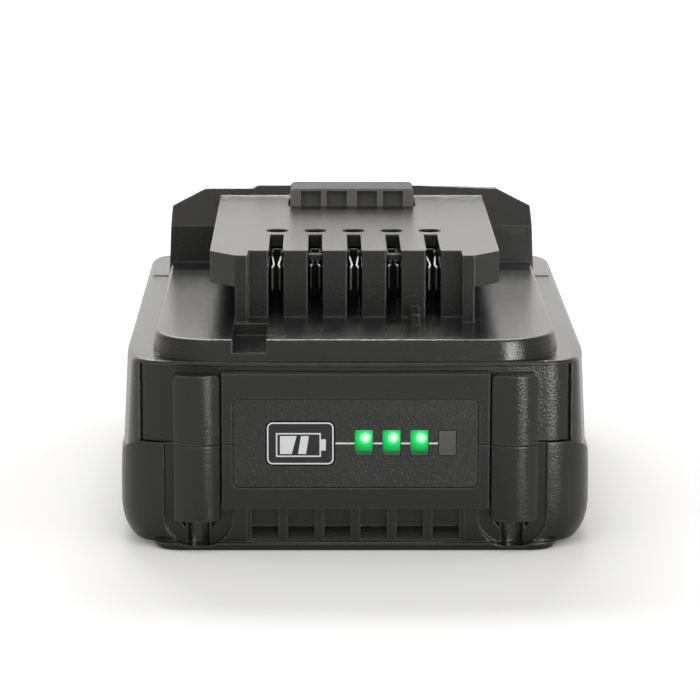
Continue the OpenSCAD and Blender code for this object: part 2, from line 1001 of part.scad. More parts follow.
module gauge_board() {
    x = panel_w / 2 - 0.2;
    z = panel_h / 2 - 0.2;
    color(board_green)
        difference() {
            translate([0, 0, gauge_z])
                block([-x, gauge_board_y, -z], [x, gauge_board_y + gauge_board_t, z]);
            gauge_pegs(pin_r / 2 + 0.1, gauge_board_y - 1, gauge_board_y + gauge_board_t + 1);
        }
}

// Four lamps that shine into the light pipes
module gauge_leds() {
    color("#d8e8d8")
        light_places()
            block(
                [-led_size.x / 2, gauge_board_y - led_size.y, -led_size.z / 2],
                [led_size.x / 2, gauge_board_y, led_size.z / 2]
            );
}

// Flat cable from the gauge board up to the main board
module gauge_cable() {
    cable_w = 7;
    t = 0.4;
    back = gauge_board_y + gauge_board_t;
    foot = gauge_z + 1;
    bend = gauge_z + panel_h / 2 - 0.8;
    route = [
        [back, foot], [back + t, foot], [back + t, bend - t], [board_front + 1, board_z - t],
        [board_front + 1, board_z], [board_front - 0.3, board_z], [back, bend]
    ];
    color("#8d8f92")
        translate([9, 0, 0])
            across(route, cable_w / 2);
}

// One cell: sleeve, crimp groove and positive button
module cell(k) {
    crimp = 3.2;
    button_r = 3.2;
    button_h = 0.8;
    can = cell_len - button_h;
    profile = [
        [0, 0], [cell_r - 0.6, 0], [cell_r, 0.6], [cell_r, can - crimp - 1],
        [cell_r - 0.5, can - crimp - 0.4], [cell_r - 0.5, can - crimp + 0.4], [cell_r, can - crimp + 1],
        [cell_r, can - 0.6], [cell_r - 0.6, can], [button_r, can], [button_r, cell_len], [0, cell_len]
    ];
    color(k % 2 == 0 ? "#2f6f9f" : "#2b668f")
        translate([0, (k - (cell_count - 1) / 2) * cell_pitch, cell_z])
            mirror([k % 2, 0, 0])
                translate([-cell_len / 2, 0, 0])
                    rotate([0, 90, 0])
                        rotate_extrude()
                            polygon(profile);
}

// Rack that holds the right-hand cell ends, with posts for the boards
module cell_rack() {
    pins = 0.3;
    difference() {
        union() {
            block([holder_x, -holder_y, floor_t], [cell_len / 2, holder_y, holder_top]);
            for (y = board_post_y)
                translate([post_x, y, holder_top - 1])
                    cylinder(r = post_r, h = board_gap + 1);
            for (y = board_post_y)
                translate([post_x, y, board_z - 1])
                    cylinder(r = pin_r, h = board_t + 1 + pins, $fn = 24);
            translate([post_x - 1, spring_y, holder_top - 1])
                cylinder(r = pin_r, h = spring_seat_t + 1 + pins, $fn = 24);
        }
        for (k = [0 : cell_count - 1])
            translate([0, (k - (cell_count - 1) / 2) * cell_pitch, cell_z])
                rotate([0, 90, 0])
                    cylinder(r = cell_r + seat_gap, h = 2 * cell_len);
    }
}

module cell_holder_right() {
    color("#4a4a46")
        cell_rack();
}

module cell_holder_left() {
    color("#4a4a46")
        mirror([1, 0, 0])
            cell_rack();
}

// Welded straps over cell ends; spans list the cells each strap joins
module bus_bars(spans) {
    t = 0.3;
    half_h = 4;
    reach = 5;
    tab_w = 4;
    x = cell_len / 2 + seat_gap;
    for (span = spans) {
        first = (span[0] - (cell_count - 1) / 2) * cell_pitch;
        last = (span[1] - (cell_count - 1) / 2) * cell_pitch;
        tab_y = (first + last) / 2;
        translate([x, 0, cell_z])
            block([0, first - reach, -half_h], [t, last + reach, half_h]);
        if (tab_y - tab_w / 2 > board_front && tab_y + tab_w / 2 < board_back)
            block([x, tab_y - tab_w / 2, cell_z], [x + t, tab_y + tab_w / 2, board_z]);
    }
}

module bus_bars_right() {
    color(nickel)
        bus_bars([[0, 0], [1, 2], [3, 4]]);
}

module bus_bars_left() {
    color(nickel)
        mirror([1, 0, 0])
            bus_bars([[0, 1], [2, 3], [4, 4]]);
}

// Shield that keeps the straps off the side wall
module end_shield() {
    x = cell_len / 2 + seat_gap + 0.3 + seat_gap;
    y = row_half - 0.8;
    block([x, -y, floor_t], [x + 0.3, y, holder_top]);
}

module end_insulator_right() {
    color("#d9d4c2")
        end_shield();
}

module end_insulator_left() {
    color("#d9d4c2")
        mirror([1, 0, 0])
            end_shield();
}

// Temperature sensor on the middle cell, on two legs from the board
module thermistor() {
    bead_r = 1.3;
    leg_r = 0.3;
    bead_z = cell_z + cell_r + bead_r + 0.2;
    color("#2a2a2a") {
        translate([0, 0, bead_z])
            sphere(r = bead_r, $fn = 32);
        left_and_right()
            translate([0.7, 0, bead_z])
                cylinder(r = leg_r, h = board_z - bead_z, $fn = 24);
    }
}

module main_board() {
    color(board_green)
        difference() {
            block([-board_x, board_front, board_z], [board_x, board_back, board_top]);
            left_and_right()
                for (y = board_post_y)
                    translate([post_x, y, board_z - 1])
                        cylinder(r = pin_r + 0.1, h = board_t + 2, $fn = 24);
        }
}

// Power switches, control chip and capacitors on the board
module board_components() {
    middle = (hole_y + board_back) / 2;
    inner_x = post_x - pin_r - 0.6;
    switch_pitch = 11;
    chip = 10;
    capacitor = [1.8, 3.2, 1.2];
    can_r = 2.4;
    color(part_black) {
        for (k = [-1, 0, 1])
            translate([k * switch_pitch, middle + 3, board_top]) {
                block([-4, -4, 0], [4, 3, 2]);
                block([-3, 3, 0], [3, 5.5, 0.8]);
            }
        translate([-inner_x, middle - 8 - chip / 2, board_top])
            cube([chip, chip, 1.4]);
        for (k = [1 : 4])
            translate([inner_x - k * (capacitor.x + 1.2), middle - 8, board_top])
                cube(capacitor);
        translate([inner_x - can_r - 3, middle + 4, board_top])
            cylinder(r = can_r, h = 3.6);
    }
}

// One leaf of a terminal in plan, at the right of its slot; the leaf pinches
// in and, with a flare, opens again towards the tool's blade
function leaf_plan(pinch_y, tip_y, pinch, flare) =
    let (t = clip_t, root = slot_w / 2 - 0.15, back = slot_end + 5)
    [
        [root - t, back], [root - t, slot_end - 2], [pinch, pinch_y], [flare - t, tip_y],
        [flare, tip_y], [pinch + t, pinch_y], [root, slot_end - 2], [root, back]
    ];

module terminal(slot, leaf) {
    root = slot_w / 2 - 0.15;
    back = slot_end + 5;
    leaf_foot = deck_z - 7.4;
    leaf_top = deck_z - web_drop - web_h - run_gap;
    leg_front = slot_end + 1.6;
    translate([(slot - (slot_count - 1) / 2) * slot_pitch, 0, 0]) {
        left_and_right() {
            translate([0, 0, leaf_foot])
                linear_extrude(leaf_top - leaf_foot)
                    polygon(leaf);
            block([root - clip_t, leg_front, board_top], [root, back, leaf_foot]);
        }
        block([-root, back - clip_t, board_top], [root, back, leaf_top]);
    }
}

// Clips in the outer and middle slots that carry the current
module power_terminals() {
    tip = fin_front + 2.6;
    color(steel)
        for (slot = [0, 2, 4])
            terminal(slot, leaf_plan(tip + 2.5, tip, 0.2, 0.85));
}

// Clips in the slots between that carry the signals
module signal_terminals() {
    tip = fin_front + 4.4;
    color(nickel)
        for (slot = [1, 3])
            terminal(slot, leaf_plan(tip + 2.2, tip, 0.15, 0.95));
}

// Latch: tooth for the tool, bar under the deck and thumb pad in the hump
module release_latch() {
    tooth_x = tooth_w / 2;
    gaps = len(tooth_ribs) - 1;
    gap_w = (tooth_w - sum(tooth_ribs, gaps)) / gaps;
    rise_y = latch_room_back - run_gap;
    pad_rear = pad_front + pad_l;
    bar = [
        [tooth_front, bar_foot], [rise_y, bar_foot], [rise_y, pad_foot], [pad_front + 1, pad_foot],
        [pad_front + 1, bar_top], [tooth_front, bar_top]
    ];
    pad = [
        [pad_front, pad_foot], [pad_rear, pad_foot], [pad_rear, pad_foot + 0.8],
        [pad_front + pad_flat, pad_top], [pad_front, pad_top]
    ];
    slope = [pad_l - pad_flat, pad_foot + 0.8 - pad_top];
    color(latch_grey)
        difference() {
            union() {
                across(bar, bar_w / 2);
                along(arched(tooth_x, bar_top - 0.5, tooth_top, tooth_r), tooth_front, tooth_rear);
                across(pad, pad_w / 2);
                for (k = [0 : pad_ribs - 1])
                    let (share = (k + 0.5) / pad_ribs)
                    translate([0, pad_front + pad_flat + slope.x * share, pad_top + slope.y * share])
                        rotate([0, 90, 0])
                            cylinder(r = pad_rib_r, h = pad_w - 6, center = true, $fn = 24);
            }
            for (k = [0 : gaps - 1])
                let (start = -tooth_x + sum(tooth_ribs, k) + k * gap_w)
                block(
                    [start, tooth_front - 1, deck_z - 0.8],
                    [start + gap_w, tooth_front + tooth_rib_depth, tooth_top - tooth_roof]
                );
            left_and_right()
                translate([spring_x, spring_y, bar_foot - 1])
                    cylinder(r = socket_r, h = socket_top - bar_foot + 1);
        }
}

// Bridge over the cell racks that the latch springs stand on
module spring_seat() {
    color("#4a4a46")
        difference() {
            union() {
                translate([0, spring_y, holder_top])
                    linear_extrude(spring_seat_t)
                        polygon(rectangle(spring_seat_x, spring_seat_l / 2, 2));
                left_and_right()
                    translate([spring_x, spring_y, holder_top])
                        cylinder(r = spring_post_r, h = spring_seat_t + 4);
            }
            left_and_right()
                translate([post_x - 1, spring_y, holder_top - 1])
                    cylinder(r = pin_r + 0.1, h = spring_seat_t + 2, $fn = 24);
        }
}

// One latch spring: a wire swept along a helix between its seats
module latch_spring() {
    sides = 6;
    rings = 12;
    coil_r = (spring_d - wire_d) / 2;
    last = spring_turns * rings;
    low = spring_foot + wire_d / 2;
    rise = spring_tip - spring_foot - wire_d;
    points = [
        for (i = [0 : last], j = [0 : sides - 1])
            let (
                a = 360 * i / rings,
                b = 360 * j / sides,
                r = coil_r + wire_d / 2 * cos(b)
            )
            [r * cos(a), r * sin(a), low + rise * i / last + wire_d / 2 * sin(b)]
    ];
    sweep = [
        for (i = [0 : last - 1], j = [0 : sides - 1])
            let (k = i * sides, m = (j + 1) % sides)
            each [[k + j, k + sides + j, k + m], [k + m, k + sides + j, k + sides + m]]
    ];
    foot_cap = [for (j = [1 : sides - 2]) [0, j, j + 1]];
    tip_cap = [for (j = [1 : sides - 2]) [last * sides, last * sides + j + 1, last * sides + j]];
    echo(least_gap_between_turns = rise / spring_turns - wire_d);
    color(steel)
        translate([spring_x, spring_y, 0])
            polyhedron(points, concat(sweep, foot_cap, tip_cap));
}

module latch_spring_right() {
    latch_spring();
}

module latch_spring_left() {
    translate([-2 * spring_x, 0, 0])
        latch_spring();
}

lower_housing();
upper_housing();
housing_screws();
gauge_panel();
gauge_button();
gauge_switch();
switch_plunger();
led_window(0);  // led_window_1
led_window(1);  // led_window_2
led_window(2);  // led_window_3
led_window(3);  // led_window_4
gauge_board();
gauge_leds();
gauge_cable();
cell(0);  // cell_1
cell(1);  // cell_2
cell(2);  // cell_3
cell(3);  // cell_4
cell(4);  // cell_5
cell_holder_left();
cell_holder_right();
bus_bars_left();
bus_bars_right();
end_insulator_left();
end_insulator_right();
thermistor();
main_board();
board_components();
power_terminals();
signal_terminals();
release_latch();
spring_seat();
latch_spring_left();
latch_spring_right();
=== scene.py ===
import bmesh
import bpy
import math
from mathutils import Matrix, Vector


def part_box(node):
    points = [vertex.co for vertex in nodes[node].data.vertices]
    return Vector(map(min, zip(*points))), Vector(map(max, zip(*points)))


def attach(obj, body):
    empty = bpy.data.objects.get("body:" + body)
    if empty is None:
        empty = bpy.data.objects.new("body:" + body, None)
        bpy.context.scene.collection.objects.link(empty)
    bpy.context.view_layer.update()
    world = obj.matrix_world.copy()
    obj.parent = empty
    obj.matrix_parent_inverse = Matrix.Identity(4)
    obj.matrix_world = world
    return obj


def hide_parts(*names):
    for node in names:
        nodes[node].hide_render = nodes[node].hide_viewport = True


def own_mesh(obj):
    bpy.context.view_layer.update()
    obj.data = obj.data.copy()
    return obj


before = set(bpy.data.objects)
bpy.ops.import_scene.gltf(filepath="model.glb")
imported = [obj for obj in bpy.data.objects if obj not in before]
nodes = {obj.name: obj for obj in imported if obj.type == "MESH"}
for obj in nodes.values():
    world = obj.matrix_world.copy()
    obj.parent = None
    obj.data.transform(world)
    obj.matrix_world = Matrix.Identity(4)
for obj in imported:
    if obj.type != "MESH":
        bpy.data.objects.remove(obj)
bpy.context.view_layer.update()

# Cells: five round steel cans in a blue shrink sleeve that folds over the
# ends and leaves the bare button and the can's base free. They lie side by
# side in the two racks, with every second one turned round.


class Shade:
    """One socket of a finish, so that finishes can be written as sums."""

    def __init__(self, socket):
        self.socket = socket
        self.tree = socket.id_data

    def node(self, kind, settings=None, sockets=None, out=0):
        """Adds a node, sets it up, then fills its sockets with values or links."""
        made = self.tree.nodes.new(kind)
        for name, value in (settings or {}).items():
            if name == "stops":
                ramp = made.color_ramp
                while len(ramp.elements) < len(value):
                    ramp.elements.new(1.0)
                for stop, (place, colour) in zip(ramp.elements, value):
                    stop.position = place
                    stop.color = colour
            else:
                setattr(made, name, value)
        for name, value in (sockets or {}).items():
            if isinstance(value, Shade):
                self.tree.links.new(value.socket, made.inputs[name])
            else:
                made.inputs[name].default_value = value
        return Shade(made.outputs[out])

    def math(self, operation, a, b=0.0):
        return self.node("ShaderNodeMath", {"operation": operation}, {0: a, 1: b})

    def __add__(self, other):
        return self.math("ADD", self, other)

    def __sub__(self, other):
        return self.math("SUBTRACT", self, other)

    def __rsub__(self, other):
        return self.math("SUBTRACT", other, self)

    def __mul__(self, other):
        return self.math("MULTIPLY", self, other)

    def __truediv__(self, other):
        return self.math("DIVIDE", self, other)

    def __pow__(self, other):
        return self.math("POWER", self, other)

    def __gt__(self, other):
        return self.math("GREATER_THAN", self, other)

    def __abs__(self):
        return self.math("ABSOLUTE", self)

    __radd__ = __add__
    __rmul__ = __mul__

    def clamp(self):
        return self.node("ShaderNodeClamp", None, {"Value": self})

    def ease(self, low, high):
        """0 below low and 1 above high, with a smooth way between."""
        sockets = {"Value": self, "From Min": low, "From Max": high}
        settings = {"interpolation_type": "SMOOTHSTEP"}
        return self.node("ShaderNodeMapRange", settings, sockets)

    def mix(self, a, b):
        """Colour a where this is 0, and colour b where it is 1."""
        return self.node("ShaderNodeMix", {"data_type": "RGBA"}, {0: self, 6: a, 7: b}, 2)

    def scaled(self, by):
        """This vector with each part scaled."""
        settings = {"operation": "MULTIPLY"}
        return self.node("ShaderNodeVectorMath", settings, {0: self, 1: by})

    def parts(self):
        """The three parts of this vector."""
        made = self.node("ShaderNodeSeparateXYZ", None, {0: self}).socket.node
        return [Shade(out) for out in made.outputs]

    def noise(self, size, detail=2.0, rough=0.5):
        """Cloudy noise with spots of about this size, in metres."""
        sockets = {"Vector": self, "Scale": 1 / size, "Detail": detail, "Roughness": rough}
        return self.node("ShaderNodeTexNoise", None, sockets)

    def cells(self, size):
        """Pits or flakes of about this size, in metres."""
        sockets = {"Vector": self, "Scale": 1 / size}
        return self.node("ShaderNodeTexVoronoi", None, sockets, "Distance")

    def bump(self, depth, over=None):
        """A normal from this height, this deep in metres, over another normal."""
        sockets = {"Strength": 1.0, "Distance": depth, "Height": self}
        if over:
            sockets["Normal"] = over
        return self.node("ShaderNodeBump", None, sockets)


class Finish:
    """A material, with the place on the piece in metres and in shares of its box."""

    def __init__(self, name, **fixed):
        self.material = bpy.data.materials.new(name)
        self.material.use_nodes = True
        self.shader = self.material.node_tree.nodes["Principled BSDF"]
        place = self.material.node_tree.nodes.new("ShaderNodeTexCoord")
        self.place = Shade(place.outputs["Object"])
        self.share = Shade(place.outputs["Generated"])
        self.give(**fixed)

    def give(self, **values):
        """Sets the shader's sockets, named with _ for a space, to values or links."""
        for name, value in values.items():
            socket = self.shader.inputs[name.replace("_", " ")]
            if isinstance(value, Shade):
                self.material.node_tree.links.new(value.socket, socket)
            else:
                socket.default_value = value

    def rounded(self, radius):
        """A normal that runs smoothly over the edges, as if rounded by a radius."""
        return self.place.node("ShaderNodeBevel", {"samples": 6}, {"Radius": radius})

    def standing_edges(self, reach):
        """1 along edges that stand out, within a reach in metres."""
        settings = {"samples": 4, "inside": True, "only_local": True}
        kind = "ShaderNodeAmbientOcclusion"
        return 1 - self.place.node(kind, settings, {"Distance": reach}, "AO")


def grey(level, warm=0.0):
    """A grey as a colour, a little warm or cool."""
    return (level * (1 + warm), level, level * (1 - warm), 1.0)


CREASE = math.radians(16)
FLAT = math.radians(1.5)
EDGE = math.radians(25)
WELD_REACH = 1e-6
creased = bpy.data.node_groups.new("creased", "GeometryNodeTree")
creased.interface.new_socket("Mesh", in_out="INPUT", socket_type="NodeSocketGeometry")
creased.interface.new_socket("Mesh", in_out="OUTPUT", socket_type="NodeSocketGeometry")
raw = Shade(creased.nodes.new("NodeGroupInput").outputs[0])
smooth = raw.node("GeometryNodeSetShadeSmooth", {"domain": "FACE"}, {0: raw, 2: True})
gentle = 1 - (raw.node("GeometryNodeInputMeshEdgeAngle") > CREASE)
crisp = raw.node("GeometryNodeSetShadeSmooth", {"domain": "EDGE"}, {0: smooth, 2: gentle})
creased.links.new(crisp.socket, creased.nodes.new("NodeGroupOutput").inputs[0])


def dress(node, finish, radius=0.0):
    """Puts a finish on a CAD node, with crisp creases or edges of a radius."""
    piece = nodes[node]
    piece.data.materials.clear()
    piece.data.materials.append(finish.material)
    join = piece.modifiers.new("join", "WELD")
    join.merge_threshold = WELD_REACH
    if radius:
        flat = piece.modifiers.new("flat", "DECIMATE")
        flat.decimate_type = "DISSOLVE"
        flat.angle_limit = FLAT
        edge = piece.modifiers.new("edge", "BEVEL")
        edge.width = radius
        edge.segments = 2
        edge.limit_method = "ANGLE"
        edge.angle_limit = EDGE
        edge.use_clamp_overlap = False
    else:
        piece.modifiers.new("creased", "NODES").node_group = creased
    even = piece.modifiers.new("even", "WEIGHTED_NORMAL")
    even.weight = 80
    even.use_face_influence = True
    even.keep_sharp = not radius


BARE_R = 0.36
END_SHARE = 0.4905
sleeve = Finish("cell_sleeve")
lengthwise, across, upwards = sleeve.share.parts()
from_axis = ((across - 0.5) ** 2 + (upwards - 0.5) ** 2) ** 0.5
at_end = abs(lengthwise - 0.5).ease(END_SHARE, END_SHARE + 0.001)
bare_end = at_end * (1 - from_axis.ease(BARE_R, BARE_R + 0.005))
crease = sleeve.place.scaled((60, 1, 1)).noise(0.006, 3)
scuff = sleeve.place.noise(0.0011, 4, 0.7)
blue = (crease * 0.5 + scuff * 0.5).mix((0.016, 0.085, 0.19, 1), (0.03, 0.15, 0.31, 1))
sleeve.give(
    Base_Color=bare_end.mix(blue, (0.62, 0.61, 0.58, 1)),
    Metallic=bare_end,
    Roughness=0.28 + scuff * 0.22,
    Normal=(crease * 0.7 + scuff * 0.3).bump(0.00005),
)
for number in range(1, 6):
    dress(f"cell_{number}", sleeve, radius=0.0001)

# Racks: two injection moulded blocks of glass filled nylon, one at each end
# of the cells, with pins that the main board and the spring bridge drop on.

rack = Finish("rack_nylon", IOR=1.53)
flow = rack.place.scaled((1, 0.25, 1)).noise(0.004, 4)
glass = rack.place.scaled((1, 6, 3)).noise(0.0009, 3, 0.65)
rack.give(
    Base_Color=(flow * 0.6 + glass * 0.4).mix(grey(0.05, 0.04), grey(0.085, 0.05)),
    Roughness=0.48 + glass * 0.25,
    Normal=(glass * 0.8 + flow * 0.2).bump(0.00004),
)
for node in ("cell_holder_left", "cell_holder_right"):
    dress(node, rack)

# Straps: stamped nickel strip, spot welded over the cell ends in series, with
# a tab on some that rises to the board. Each weld shows as a dark little pit.

CELL_PITCH = 0.0188
CELL_AXIS_Z = 0.01225
WELD_OFF = 0.0016
PIT_IN, PIT_OUT = 0.0003, 0.0008
strap = Finish("strap_nickel", Metallic=1.0)
_, along_row, over_floor = strap.place.parts()
in_cell = along_row.math("PINGPONG", along_row, CELL_PITCH / 2)
off_axis = abs(over_floor - CELL_AXIS_Z)
pit = ((in_cell - WELD_OFF) ** 2 + (off_axis - WELD_OFF) ** 2) ** 0.5
weld = 1 - pit.ease(PIT_IN, PIT_OUT)
drawn = strap.place.scaled((1, 0.06, 1)).noise(0.0003, 2)
nickel = drawn.mix((0.55, 0.52, 0.47, 1), (0.68, 0.65, 0.6, 1))
strap.give(
    Base_Color=weld.mix(nickel, (0.2, 0.17, 0.13, 1)),
    Roughness=0.24 + drawn * 0.2 + weld * 0.3,
    Normal=(drawn * 0.1 - weld).bump(0.00006),
)
for node in ("bus_bars_left", "bus_bars_right"):
    dress(node, strap, radius=0.00006)

# Shields: die cut fibre sheet that stands between the straps and the side
# walls, pale buff, with short fibres showing in its face.

shield = Finish("shield_fibre")
fibre = shield.place.scaled((1, 1, 9)).noise(0.0012, 5, 0.7)
cross = shield.place.scaled((1, 9, 1)).noise(0.0014, 5, 0.7)
shield.give(
    Base_Color=(fibre * 0.5 + cross * 0.5).mix((0.42, 0.37, 0.26, 1), (0.62, 0.57, 0.44, 1)),
    Roughness=0.72 + cross * 0.15,
    Normal=(fibre + cross).bump(0.00003),
)
for node in ("end_insulator_left", "end_insulator_right"):
    dress(node, shield, radius=0.00006)

# Boards: the main board over the cells and the small gauge board behind the
# panel. Glass fibre sheet under green lacquer, with copper tracks below it.

board = Finish("board_lacquer", IOR=1.52)
tracks = board.place.node(
    "ShaderNodeTexBrick",
    {"offset": 0.35, "squash": 0.6, "squash_frequency": 3},
    {
        "Vector": board.place, "Color1": grey(0), "Color2": grey(0), "Mortar": grey(1),
        "Scale": 1.0, "Mortar Size": 0.00022, "Mortar Smooth": 0.15,
        "Brick Width": 0.0046, "Row Height": 0.0021,
    },
    "Fac",
)
weave = board.place.noise(0.0004, 2)
lacquer = weave.mix((0.006, 0.07, 0.028, 1), (0.01, 0.1, 0.042, 1))
board.give(
    Base_Color=tracks.mix(lacquer, (0.03, 0.19, 0.075, 1)),
    Roughness=0.26 + weave * 0.16,
    Normal=(tracks * 0.7 + weave * 0.3).bump(0.00004),
)
for node in ("main_board", "gauge_board"):
    dress(node, board, radius=0.00008)

# Parts on the boards: power switches, control chip and capacitors in black
# moulded resin, the push switch's body, and the dipped temperature sensor.

resin = Finish("part_resin", IOR=1.55)
speck = resin.place.noise(0.00025, 3, 0.6)
resin.give(
    Base_Color=speck.mix(grey(0.011), grey(0.026)),
    Roughness=0.42 + speck * 0.2,
    Normal=speck.bump(0.00002),
)
for node in ("board_components", "gauge_switch", "thermistor"):
    dress(node, resin, radius=0.00012)

# Lamps: four little clear resin blocks soldered to the gauge board behind the
# light windows. The phosphor in the resin tints them a pale yellow green.

lamp = Finish("lamp_resin", IOR=1.5)
lens = lamp.place.noise(0.0004, 2)
lamp.give(
    Base_Color=lens.mix((0.62, 0.72, 0.5, 1), (0.8, 0.84, 0.66, 1)),
    Roughness=0.18 + lens * 0.15,
    Normal=lens.bump(0.00001),
)
dress("gauge_leds", lamp, radius=0.0001)

# Flat cable: grey ribbon between the gauge board and the main board, with its
# wires showing as rows of low ridges.

WIRE_PITCH = 0.0005
ribbon = Finish("ribbon_vinyl", IOR=1.5)
sideways = ribbon.place.parts()[0]
wires = sideways.math("PINGPONG", sideways, WIRE_PITCH / 2) / (WIRE_PITCH / 2)
haze = ribbon.place.noise(0.0007, 3)
ribbon.give(
    Base_Color=(wires * 0.6 + haze * 0.4).mix(grey(0.2, 0.02), grey(0.33, 0.01)),
    Roughness=0.4 + haze * 0.15,
    Normal=wires.bump(0.00012),
)
dress("gauge_cable", ribbon, radius=0.00006)

# Terminals: clips bent from tinned copper sheet, three for the current and
# two for the signals. Their leaves are painted near black as painted shade in
# the slots, and only their tops show the bright tin.

TIN = (0.6, 0.6, 0.59, 1)
LEAF_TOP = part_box("power_terminals")[1].z
clip = Finish("clip_tin", Metallic=1.0)
rolled = clip.place.scaled((1, 0.08, 1)).noise(0.00022, 3)
mottle = clip.place.noise(0.0015, 3, 0.6)
# Painted shade: below their tops the leaves are painted near black, deep in the slots; the
# tops keep the tin's colour.
unshaded_top = clip.place.parts()[2].ease(LEAF_TOP - 0.0004, LEAF_TOP - 0.0001)
clip.give(
    Base_Color=(mottle * 0.16 + rolled * 0.06 + unshaded_top * 0.7).clamp().mix(grey(0.05, 0.01), TIN),
    Roughness=0.42 + rolled * 0.16 + mottle * 0.12 - unshaded_top * 0.2,
    Normal=rolled.bump(0.000012),
)
for node in ("power_terminals", "signal_terminals"):
    dress(node, clip, radius=0.00009)

# Light windows: clear light pipes snapped in the panel. The three lit ones
# have a painted green glow for the lamp behind, white hot at a spot and dim
# at the foot; the last is off.

LIGHT_W = 0.00285
LIGHT_H = 0.00425
LIGHT_PITCH = 0.00467
LIT_IOR, DARK_IOR = 1.25, 1.49
SPOT_RIGHT, SPOT_UP = 0.1, 0.22
SPOT_FLAT = 0.67
UNLIT_FOOT = (0.04, 0.075, 0.045, 1)


def light_pipe(number, lit):
    """A light pipe's finish, with a painted glow brightest in its upper half, or dark."""
    low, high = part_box(f"led_window_{number}")
    middle = (low + high) / 2
    pipe = Finish(f"light_pipe_{number}", IOR=LIT_IOR if lit else DARK_IOR)
    right, _, up = pipe.place.parts()
    right = (right - middle.x) / LIGHT_W
    up = (up - middle.z) / LIGHT_H
    frost = pipe.place.noise(0.0003, 3)
    pipe.give(
        Roughness=0.22 + frost * 0.2,
        Normal=frost.bump(0.00001, pipe.rounded(0.00015)),
    )
    if lit:
        # Painted light: the pipe's own emission paints the lamp's green glow, its white hot
        # spot and its dim foot.
        sideways = (right - SPOT_RIGHT) * SPOT_FLAT
        from_spot = (sideways ** 2 + (up - SPOT_UP) ** 2) ** 0.5 + (frost - 0.5) * 0.22
        painted_glow = from_spot.node(
            "ShaderNodeValToRGB",
            {"stops": [
                (0.0, (0.84, 1.0, 0.92, 1)),
                (0.13, (0.55, 1.0, 0.72, 1)),
                (0.24, (0.01, 0.78, 0.16, 1)),
                (0.42, (0.0, 0.46, 0.075, 1)),
                (0.64, (0.0, 0.2, 0.035, 1)),
            ]},
            {0: from_spot},
        )
        pipe.give(
            Base_Color=(0.005, 0.05, 0.015, 1),
            Emission_Color=up.ease(-0.36, -0.27).mix(UNLIT_FOOT, painted_glow),
            Emission_Strength=1.0,
        )
    else:
        # The dark pipe is frost mottled and paler towards its top.
        haze = (frost * 0.6 + up * 0.25 + 0.2).clamp()
        pipe.give(Base_Color=haze.mix(grey(0.07), grey(0.13)))
    dress(f"led_window_{number}", pipe)


for number in range(1, 5):
    light_pipe(number, lit=number < 4)

# Gauge panel: a snap-in cover of black plastic with a coarse grain, held by
# its flange. A thin white line printed on it joins the key to the lights.

panel = Finish("panel_grain", IOR=1.46)
leather = panel.place.noise(0.0003, 3, 0.62)
# Painted glints: pale flecks painted in the colour stand in for the grain catching the light.
painted_glint = panel.place.noise(0.00024, 1).ease(0.64, 0.76)
pits = panel.place.cells(0.0006)
patch = panel.place.noise(0.009, 2)
black = (leather * 0.75 + patch * 0.25).ease(0.3, 0.7).mix(grey(0.01), grey(0.03))
panel.give(
    Base_Color=painted_glint.mix(black, grey(0.11)),
    Roughness=0.5 + leather * 0.14,
    Normal=(leather * 0.75 - pits * 0.35).bump(0.00011, panel.rounded(0.0001)),
)
dress("gauge_panel", panel)

INK_T = 0.00002
KEY_RIGHT = -0.0036
PRINT_Z = 0.01845
LINE_T = 0.00029
LINE_LOW, LINE_HIGH = PRINT_Z - LINE_T / 2, PRINT_Z + LINE_T / 2
KEY_GAP = 0.0002
LIGHT_GAP = LIGHT_W / 2 + 0.00015
ink = Finish("white_ink")
fleck = ink.place.noise(0.0003, 3)
ink.give(
    Base_Color=fleck.ease(0.25, 0.55).mix((0.78, 0.81, 0.82, 1), (0.92, 0.95, 0.96, 1)),
    Roughness=0.5 + fleck * 0.1,
    Normal=fleck.bump(0.000008),
)


def printed(name, patches, face_y, body):
    """A thin layer of ink on a face; a patch is an outline with holes, in X and Z."""
    shape = bmesh.new()
    for outline, holes in patches:
        rings = []
        for ring in [outline, *holes]:
            corners = [shape.verts.new((x, face_y, z)) for x, z in ring]
            pairs = zip(corners, corners[1:] + corners[:1])
            rings += [shape.edges.new(pair) for pair in pairs]
        bmesh.ops.triangle_fill(shape, edges=rings, use_beauty=True, normal=(0, -1, 0))
    bmesh.ops.recalc_face_normals(shape, faces=shape.faces)
    for face in shape.faces:
        if face.normal.y > 0:
            face.normal_flip()
    back = bmesh.ops.extrude_face_region(shape, geom=shape.faces[:])
    for item in back["geom"]:
        if isinstance(item, bmesh.types.BMVert):
            item.co.y = face_y - INK_T
    bmesh.ops.recalc_face_normals(shape, faces=shape.faces)
    mesh = bpy.data.meshes.new(name)
    shape.to_mesh(mesh)
    shape.free()
    mesh.materials.append(ink.material)
    piece = bpy.data.objects.new(name, mesh)
    bpy.context.scene.collection.objects.link(piece)
    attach(piece, body)


def bar(left, right, low, high, r=0.0, steps=5):
    """A rectangle in X and Z, with round corners where r is given."""
    if not r:
        return [(left, low), (right, low), (right, high), (left, high)]
    middles = [
        (right - r, high - r), (left + r, high - r), (left + r, low + r), (right - r, low + r)
    ]
    points = []
    for corner, (x, z) in enumerate(middles):
        for k in range(steps + 1):
            turn = math.radians(90 * corner + 90 * k / steps)
            points.append((x + r * math.cos(turn), z + r * math.sin(turn)))
    return points


panel_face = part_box("gauge_panel")[0].y
first_light = (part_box("led_window_1")[0].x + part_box("led_window_1")[1].x) / 2
lights = [first_light + k * LIGHT_PITCH for k in range(4)]
ends = [KEY_RIGHT + KEY_GAP] + [light + LIGHT_GAP for light in lights[:3]]
starts = [light - LIGHT_GAP for light in lights]
lines = [(bar(a, b, LINE_LOW, LINE_HIGH), []) for a, b in zip(ends, starts)]
printed("gauge_line_print", lines, panel_face, "pack")

# Gauge key: a cap of smoother black plastic that asks for the charge. A white
# frame is printed round its edge, with a battery sign inside.

